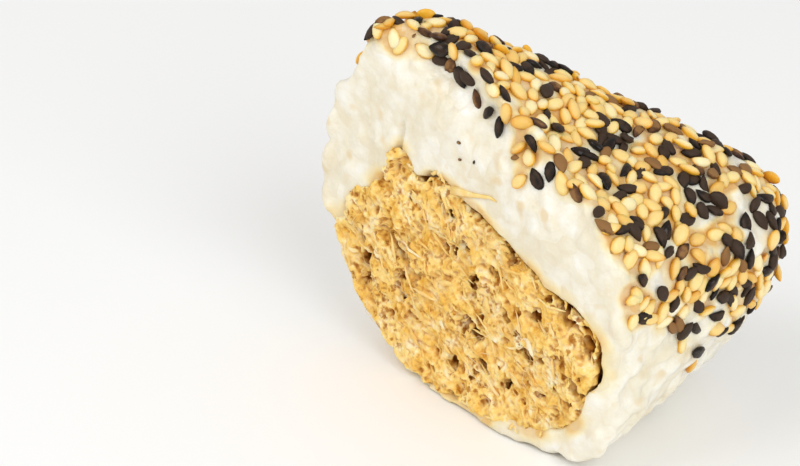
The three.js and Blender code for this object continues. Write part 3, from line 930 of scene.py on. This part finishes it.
# The same meat in thin pieces: each shred has its own tone, from brown to pale straw.
meat_shreds = new_material("pulled_meat_fibres")
place = add_node(meat_shreds, "ShaderNodeTexCoord").outputs["Object"]
own_tone = add_node(meat_shreds, "ShaderNodeAttribute", attribute_name="shade")
cloudy = add_node(meat_shreds, "ShaderNodeTexNoise", {"Vector": place, "Scale": 1 / 0.0014, "Detail": 3.0})
both = add_node(meat_shreds, "ShaderNodeMath", {
    0: own_tone.outputs["Fac"], 1: cloudy.outputs["Fac"],
}, operation="ADD")
tone = add_node(meat_shreds, "ShaderNodeMath", {0: both.outputs["Value"], 1: 0.5}, operation="MULTIPLY")
tans = add_node(meat_shreds, "ShaderNodeValToRGB", {"Fac": tone.outputs["Value"]}, [
    (0.15, "#C5852F"), (0.35, "#EBB251"), (0.5, "#F7C970"), (0.64, "#FDD98E"), (0.8, "#FFEBC2"),
])
fibres = add_node(meat_shreds, "ShaderNodeTexNoise", {"Vector": place, "Scale": 1 / 0.0003, "Detail": 2.0})
rough = add_node(meat_shreds, "ShaderNodeBump", {
    "Height": fibres.outputs["Fac"], "Strength": 0.35, "Distance": 0.00012,
})
surface = add_node(meat_shreds, "ShaderNodeBsdfPrincipled", {
    "Base Color": tans.outputs["Color"], "Roughness": 0.5, "IOR": 1.4,
    "Subsurface Weight": 0.25, "Subsurface Scale": 0.0006, "Subsurface Radius": (1.0, 0.6, 0.3),
    "Normal": rough.outputs["Normal"],
})
add_node(meat_shreds, "ShaderNodeOutputMaterial", {"Surface": surface.outputs["BSDF"]})

for shreds in (filling_shreds, filling_threads):
    shreds.data.materials.append(meat_shreds)
    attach(shreds, "root")


# ---- Sesame ----------------------------------------------------------------------------------------------
# Toasted sesame rolled onto the block while it was warm: hulled pale seeds, and black and brown ones with
# their hulls on. They lie flat and lap over each other on the top, and thin out at the base.

SEED = (3.15, 2.1, 1.15)
SEED_HEART = (1.68, -11.06, 23)  # a point deep in the rice, from which the seeded skin is looked at


def seed_model(name, slim, bend, dent):
    """A seed along X: round at one end, drawn in at the other, bent sideways and dented along its back."""
    bpy.ops.object.select_all(action="DESELECT")
    bpy.ops.mesh.primitive_uv_sphere_add(segments=8, ring_count=7, radius=0.5 * MM)
    obj = named(name)
    obj.data.transform(Matrix.Rotation(math.radians(90), 4, "Y"))
    shape = points_of(obj)
    along = 2 * shape[:, 0]
    round_end = (1 - np.clip(-along, 0, 1) ** 2.3) ** 0.5
    drawn_end = (1 - np.clip(along, 0, 1) ** 1.6) ** 0.78
    girth = np.where(along < 0, round_end, drawn_end)
    shape[:, 1:] *= (girth / np.maximum(2 * np.hypot(shape[:, 1], shape[:, 2]), 1e-9))[:, None]
    shape *= (SEED[0], SEED[1] * slim, SEED[2])
    on_back = smoothstep(shape[:, 2], 0, 0.3 * SEED[2])
    on_back *= 1 - smoothstep(np.abs(shape[:, 1]), 0, 0.3 * SEED[1] * slim)
    shape[:, 2] -= dent * on_back * (1 - along**2)
    shape[:, 1] += bend * (1 - along**2)
    shape[:, 2] += 0.4 * bend * (1 - along**2)
    move_points(obj, shape)
    return obj


SEED_SHAPES = [
    ("plump_seed", 1.0, 0, 0), ("slim_seed", 0.9, 0.1, 0), ("bent_seed", 0.82, 0.3, 0.1),
    ("dented_seed", 0.9, 0.12, 0.35), ("dried_seed", 0.66, 0.4, 0.3),
]
# How often each of those shapes comes up among hulled seeds, and among ones in their hulls.
HULLED_SHAPES, UNHULLED_SHAPES = (5, 4, 1, 0, 0), (1, 3, 3, 3, 2)
seed_models = [seed_model(*shape) for shape in SEED_SHAPES]
rice_surface = surface_of(rice)


def seed_hem(compass):
    """How low the seeds come, by compass turn about the heart: 0 faces the base and 90 the long side."""
    turns = (-22, -13, -4, 11, 20, 30, 55, 95, 140, 185)
    return np.interp(compass, turns, (33, 28, 22.5, 20.5, 18, 15, 15, 25, 33, 43))


def seed_start(x):
    """How near the cut the seeds come along the top."""
    places = (-26, -21, -17.5, -12, -7.5, 0.6, 14.5, 20, 27)
    return CUT + np.interp(x, places, (1, 0.9, 2.6, 3.4, 2.9, 1.9, 1.8, 2.2, 2.4))


roll = random.Random(20)
placed = {"pale": [], "black": [], "brown": []}


def lay_seed(kind, point, normal, turn, lift, lean, part=1.0):
    """A seed, or a broken part of one, turned on the skin, `lift` mm off the rice and leaning by chance."""
    shape = roll.choices(range(5), HULLED_SHAPES if kind == "pale" else UNHULLED_SHAPES)[0]
    axes = frame_on(normal, turn)
    tilt = turn_about(axes, 1, roll.gauss(0, lean)) @ turn_about(axes, 0, roll.gauss(0, 1.3 * lean))
    size = part * roll.uniform(0.88, 1.1)
    axes = np.array(tilt) @ axes * (size, size * roll.uniform(0.88, 1.08), size * roll.uniform(0.85, 1.1))
    placed[kind].append((shape, axes, point + normal * lift, roll.random()))


# Places near the base where few seeds stuck: x, y, z and reach in mm.
BARE = [(25.5, 6.2, 32.4, 3.4), (26.3, -2.2, 32, 2.8), (28.4, 8.5, 28.4, 2.8), (28.3, -12, 29, 2.6)]

taken = []
for layer, tries, spacing, lift, lean in ((1, 12000, 1.55, 0.2, 0.18), (2, 6000, 1.45, 0.66, 0.32)):
    for _ in range(tries):
        z, turn = roll.uniform(-0.4, 1), roll.uniform(0, 2 * math.pi)
        flat = math.sqrt(1 - z * z)
        hit, normal, _, _ = core_surface.ray_cast(
            Vector(SEED_HEART) * MM, Vector((flat * math.cos(turn), flat * math.sin(turn), z)),
        )
        if hit is None:
            continue
        p, normal = np.array(hit) / MM, np.array(normal)
        compass = math.degrees(math.atan2(p[1] - SEED_HEART[1], p[0] - SEED_HEART[0]))
        compass = compass + 360 if compass < -60 else compass
        above_hem = p[2] - seed_hem(compass)
        if p[1] < seed_start(p[0]) or above_hem < 0:
            continue
        # They thin out in the bare places and at the hem, and crowd together elsewhere.
        bare = max(
            1 - smoothstep(np.linalg.norm(p - spot), 0.6 * reach, 1.3 * reach) for *spot, reach in BARE
        )
        patchy = lumps(p[None] + 5, 6)[0]
        sparse = 1.3 * bare + 0.25 * smoothstep(patchy, 0.15, 0.6) + 0.6 * (above_hem < 4)
        if any(np.linalg.norm(p - q) < spacing + sparse for q in taken):
            continue
        if layer == 2 and sparse > 0.25:
            continue
        taken.append(p)
        near, _, _, _ = rice_surface.find_nearest(hit)
        dark_here = 0.34 * lumps(p[None] + 15, 4.5)[0]
        kind = roll.choices(("pale", "black", "brown"), (0.54 - dark_here, 0.36 + dark_here, 0.1))[0]
        turn = roll.uniform(0, 2 * math.pi)
        lay_seed(kind, np.array(near) / MM, normal, turn, lift + roll.uniform(-0.1, 0.1), lean)

# Seeds that fell on the cut, and ones that stuck by themselves below the hem: kind, a point beside each,
# its turn, and how much of a whole seed it is.
STRAYS = [
    ("pale", (-17.6, -18.4, 48.2), 2.0, 1), ("pale", (-16.4, -18.4, 47.7), 1.2, 1),
    ("black", (-21.8, -19.3, 48.4), 2.2, 1), ("pale", (-20.4, -18.9, 49.0), 1.9, 1),
    ("brown", (-19.9, -18.4, 50.1), 0.6, 1), ("pale", (-19.4, -18.0, 50.2), 2.4, 1),
    ("brown", (7.2, -19.5, 41.0), 0.4, 0.45), ("pale", (9.3, -19.8, 38.5), 0.9, 0.9),
    ("black", (11.5, -19, 39.5), 2.4, 1), ("brown", (17.6, -18, 39.9), 2.3, 1),
    ("brown", (23.4, -18.1, 37.6), 2.2, 1), ("pale", (28.3, -16.7, 29.1), 2.0, 1),
    ("pale", (28.2, -16.8, 25.2), 1.0, 1), ("black", (28.9, -14.9, 25.2), 2.6, 1),
    ("pale", (28.6, -14.0, 26.0), 0.7, 1), ("pale", (27.8, -5.7, 17.3), 1.3, 1),
    ("pale", (26, -1.1, 11.5), 1.6, 1), ("brown", (28.1, -7.4, 21.3), 2.1, 1),
    ("black", (27.9, -2.2, 14.8), 2.7, 1), ("black", (25.9, 7.4, 13.8), 1.5, 1),
    ("black", (28.0, -6.0, 19.8), 1.0, 1), ("brown", (-1.8, -20, 37.0), 0.4, 0.22),
    ("black", (0.8, -20, 37.7), 1.4, 0.2), ("brown", (-2.2, -20, 39.4), 0.2, 0.24),
    ("black", (9.2, -19, 42.0), 2.0, 0.24), ("brown", (-14.0, -19, 49.4), 1.1, 0.22),
    ("pale", (-24.9, -18.6, 43.4), 1.4, 1),
]
for kind, beside, turn, part in STRAYS:
    near, _, _, _ = rice_surface.find_nearest(Vector(beside) * MM)
    _, normal, _, _ = core_surface.find_nearest(Vector(beside) * MM)
    taken.append(np.array(near) / MM)
    lay_seed(kind, taken[-1], np.array(normal), turn, 0.22 * part, 0.08, part)
LOW_SEEDS, LOW_SPACING = 26, 2.6  # tries at seeds below the hem on the far side, and mm between them
for _ in range(LOW_SEEDS):
    turn, below = roll.uniform(60, 160), roll.uniform(0.5, 7)
    z = np.interp(turn, (30, 95, 185), (11, 25, 43)) - below
    away = Vector((math.cos(math.radians(turn)), math.sin(math.radians(turn)), (z - SEED_HEART[2]) / 24))
    hit, normal, _, _ = core_surface.ray_cast(Vector(SEED_HEART) * MM, away)
    if hit is None or z <= 4 or hit.y <= -17 * MM:
        continue
    if all(np.linalg.norm(np.array(hit) / MM - q) > LOW_SPACING for q in taken):
        near, _, _, _ = rice_surface.find_nearest(hit)
        taken.append(np.array(near) / MM)
        kind = roll.choices(("pale", "black", "brown"), (0.6, 0.25, 0.15))[0]
        lay_seed(kind, taken[-1], np.array(normal), roll.uniform(0, 6.3), 0.2, 0.12)

pale_sesame, black_sesame, brown_sesame = (
    lay_copies(kind + "_sesame", seed_models, placed[kind]) for kind in ("pale", "black", "brown")
)
for model in seed_models:
    bpy.data.objects.remove(model)

# Oil and painted glow from the toasted seeds tint the rice under and between them, and sauce round the
# filling.
OIL_AND_GLOW_SPREAD, SAUCE_SPREAD, RIM_STAIN = 3.0, 2.6, 1.1  # how far each creeps, in mm
# The hollow's wall shows dark brown near its upper edge: that is painted shadow in the gap, flecked with
# meat.
BARE_WALL = 2.5  # how near its upper edge the hollow's wall shows, brown with flecks of meat
seed_tree = KDTree(len(placed["pale"]))
for n, (_, _, point, _) in enumerate(placed["pale"]):
    seed_tree.insert(point, n)
seed_tree.balance()
skin = points_of(rice)
blotches = lumps(skin + 9, 4)
flecks = smoothstep(lumps(skin + 61, 1.3) + 0.5 * lumps(skin + 83, 0.7), 0.0, 0.55)
soak_glow_and_shade_values = []
for p, blotch, fleck in zip(skin, blotches, flecks):
    nearest, second = (distance for _, _, distance in seed_tree.find_n(p, 2))
    # Golden by the pale seeds, most between two of them: partly their oil, partly painted glow through
    # them.
    oil_and_glow = 2.2 * max(0, 1 - (nearest + 0.5 * second - 0.9) / OIL_AND_GLOW_SPREAD) * (0.75 + 0.5 * blotch)
    sauce_and_shade = 0.0
    if p[1] < CUT + 4 and oil_and_glow < 0.05:
        from_hollow = (hollow_surface.find_nearest(Vector(p) * MM)[3] or 1) / MM
        sauce_and_shade = min(0.8, 1.3 * max(0, 1 - from_hollow / SAUCE_SPREAD) * max(0, 0.4 + 1.3 * blotch))
        sauce_and_shade = max(sauce_and_shade, 0.6 * max(0, 1 - from_hollow / RIM_STAIN))
        # On the hollow's wall in the gap: painted dark brown shadow near its upper edge, an amber sauce
        # stain lower.
        if from_hollow < 0.45 and p[1] > CUT + 0.7 and above_skin(p) < -0.7:
            sauce_and_shade = 1.0 - 0.11 * fleck if from_upper_rim(p[None])[0] < BARE_WALL else 0.85
    soak_glow_and_shade_values.append(max(0, min(0.88, oil_and_glow), min(1, sauce_and_shade)))
rice.data.attributes.new("soak_glow_and_shade", "FLOAT", "POINT").data.foreach_set("value", soak_glow_and_shade_values)

# Hulled sesame: smooth and waxy. Its sides are painted a deeper gold, for light through the thin edge and
# the shade below it, its back is painted paler ivory as lit from above, and about half of them keep a brown
# point.
hulled_sesame = new_material("hulled_toasted_sesame")
shade, crown, lengthwise = (
    add_node(hulled_sesame, "ShaderNodeAttribute", attribute_name=name).outputs["Fac"]
    for name in ("shade", "crown", "lengthwise")
)
glow_and_shade_sides = add_node(hulled_sesame, "ShaderNodeValToRGB", {"Fac": shade}, [
    (0.0, "#D48C12"), (0.15, "#E29E20"), (1.0, "#F0B834"),
])
lit_backs = add_node(hulled_sesame, "ShaderNodeValToRGB", {"Fac": shade}, [
    (0.0, "#ECBA58"), (0.15, "#F4CD7A"), (0.7, "#FADD94"), (1.0, "#FEEBBA"),
])
point_end = add_node(hulled_sesame, "ShaderNodeMapRange", {
    "Value": lengthwise, "From Min": 0.88, "From Max": 0.99, "To Max": 0.9,
})
spread_out = add_node(hulled_sesame, "ShaderNodeMath", {0: shade, 1: 7.0}, operation="MULTIPLY")
chance = add_node(hulled_sesame, "ShaderNodeMath", {0: spread_out.outputs["Value"]}, operation="FRACT")
has_point = add_node(hulled_sesame, "ShaderNodeMath", {
    0: chance.outputs["Value"], 1: 0.5,
}, operation="GREATER_THAN")
point_here = add_node(hulled_sesame, "ShaderNodeMath", {
    0: point_end.outputs["Result"], 1: has_point.outputs["Value"],
}, operation="MULTIPLY")
# Painted light and shade: golden sides up to the paler ivory back, by height in the seed, then the brown
# point.
tipped = lay_tints(hulled_sesame, glow_and_shade_sides.outputs["Color"], [
    (crown, 0.5, 0.88, 1.0, lit_backs.outputs["Color"]),
    (point_here.outputs["Value"], 0.0, 1.0, 1.0, linear("#7A4719")),
])
surface = add_node(hulled_sesame, "ShaderNodeBsdfPrincipled", {
    "Base Color": tipped, "Roughness": 0.36, "IOR": 1.45,
    "Subsurface Weight": 0.3, "Subsurface Scale": 0.0007, "Subsurface Radius": (1.0, 0.65, 0.3),
})
add_node(hulled_sesame, "ShaderNodeOutputMaterial", {"Surface": surface.outputs["BSDF"]})


def unhulled_sesame(name, tones):
    """Sesame in its hull: dull and papery with fine wrinkles, and on a few seeds damp and glossy."""
    hull = new_material(name)
    shade = add_node(hull, "ShaderNodeAttribute", attribute_name="shade").outputs["Fac"]
    crown = add_node(hull, "ShaderNodeAttribute", attribute_name="crown").outputs["Fac"]
    place = add_node(hull, "ShaderNodeTexCoord").outputs["Object"]
    worn = add_node(hull, "ShaderNodeTexNoise", {"Vector": place, "Scale": 1 / 0.0009, "Detail": 3.0})
    # Painted light: each seed's top is made lighter and its sides darker, as lit from above.
    painted_lit_back = add_node(hull, "ShaderNodeMapRange", {
        "Value": crown, "From Min": 0.62, "From Max": 0.95, "To Min": -0.08, "To Max": 0.34,
    })
    own_tone = add_node(hull, "ShaderNodeMath", {0: shade, 1: 0.6}, operation="MULTIPLY")
    with_lit_back = add_node(hull, "ShaderNodeMath", {
        0: own_tone.outputs["Value"], 1: painted_lit_back.outputs["Result"],
    }, operation="ADD")
    tone = add_node(hull, "ShaderNodeMath", {
        0: with_lit_back.outputs["Value"], 1: worn.outputs["Fac"],
    }, operation="ADD")
    browns = add_node(hull, "ShaderNodeValToRGB", {"Fac": tone.outputs["Value"]}, tones)
    gloss = add_node(hull, "ShaderNodeMapRange", {
        "Value": shade, "From Min": 0.1, "From Max": 0.2, "To Min": 0.2, "To Max": 0.55,
    })
    wrinkles = add_node(hull, "ShaderNodeTexNoise", {"Vector": place, "Scale": 1 / 0.0003, "Detail": 2.0})
    wrinkled = add_node(hull, "ShaderNodeBump", {
        "Height": wrinkles.outputs["Fac"], "Strength": 0.5, "Distance": 0.00012,
    })
    surface = add_node(hull, "ShaderNodeBsdfPrincipled", {
        "Base Color": browns.outputs["Color"], "Roughness": gloss.outputs["Result"], "IOR": 1.32,
        "Normal": wrinkled.outputs["Normal"],
    })
    add_node(hull, "ShaderNodeOutputMaterial", {"Surface": surface.outputs["BSDF"]})
    return hull


black_hull = unhulled_sesame("black_sesame_hull", [(0.4, "#120C08"), (0.75, "#20160F"), (1.0, "#3E2D1F")])
brown_hull = unhulled_sesame("brown_sesame_hull", [
    (0.3, "#2C1A10"), (0.6, "#4A2E1A"), (0.85, "#6C4827"), (1.0, "#8F6639"),
])
for sesame, coat in ((pale_sesame, hulled_sesame), (black_sesame, black_hull), (brown_sesame, brown_hull)):
    sesame.data.materials.append(coat)
    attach(sesame, "root")


# ---- Table, light and camera -----------------------------------------------------------------------------
# A plain white table under soft, even studio light from above and from both sides, and a camera that looks
# down on the cut and the seeded top from the base end.

bpy.ops.object.select_all(action="DESELECT")
bpy.ops.mesh.primitive_plane_add(size=6)
floor = named("floor")
# White laminate: smooth and matt, so that it takes a soft shadow and mirrors nothing.
white_table = new_material("white_laminate")
surface = add_node(white_table, "ShaderNodeBsdfPrincipled", {
    "Base Color": linear("#FBFAF8"), "Roughness": 0.6,
})
add_node(white_table, "ShaderNodeOutputMaterial", {"Surface": surface.outputs["BSDF"]})
floor.data.materials.append(white_table)

world = bpy.data.worlds.new("studio")
bpy.context.scene.world = world
world.use_nodes = True
sky = world.node_tree.nodes["Background"].inputs
sky["Color"].default_value, sky["Strength"].default_value = (1, 1, 1, 1), 0.62


def add_softbox(name, place, size, power, colour=(1, 1, 1)):
    """An area light that looks at the rice ball."""
    data = bpy.data.lights.new(name, "AREA")
    data.color = colour
    data.shape, data.size, data.size_y, data.energy = "RECTANGLE", size, size, power
    lamp = bpy.data.objects.new(name, data)
    lamp.location = place
    lamp.rotation_euler = (Vector((0, 0, 0.02)) - lamp.location).to_track_quat("-Z", "Y").to_euler()
    bpy.context.scene.collection.objects.link(lamp)


add_softbox("key", (-0.2, -0.5, 0.6), 0.45, 1.8)
add_softbox("fill", (0.6, -0.15, 0.45), 0.5, 2.5, (0.9, 0.95, 1))

AZIMUTH, ELEVATION, ROLL = math.radians(46.02), math.radians(29.19), math.radians(3.49)
CAMERA_AT = (267.73, -290.61, 238.53)
level = math.cos(ELEVATION)
back = Vector((math.sin(AZIMUTH) * level, -math.cos(AZIMUTH) * level, math.sin(ELEVATION)))
right = Vector((0, 0, 1)).cross(back).normalized()
up = back.cross(right)
turned_right = math.cos(ROLL) * right + math.sin(ROLL) * up
turned_up = math.cos(ROLL) * up - math.sin(ROLL) * right
camera_data = bpy.data.cameras.new("camera")
camera_data.lens, camera_data.sensor_width = 145.85, 36
camera_data.clip_start, camera_data.clip_end = 0.05, 20
camera = bpy.data.objects.new("camera", camera_data)
facing = Matrix((turned_right, turned_up, back)).transposed().to_4x4()
camera.matrix_world = Matrix.Translation(Vector(CAMERA_AT) * MM) @ facing
bpy.context.scene.collection.objects.link(camera)
bpy.context.scene.camera = camera
bpy.context.scene.view_settings.view_transform = "Standard"
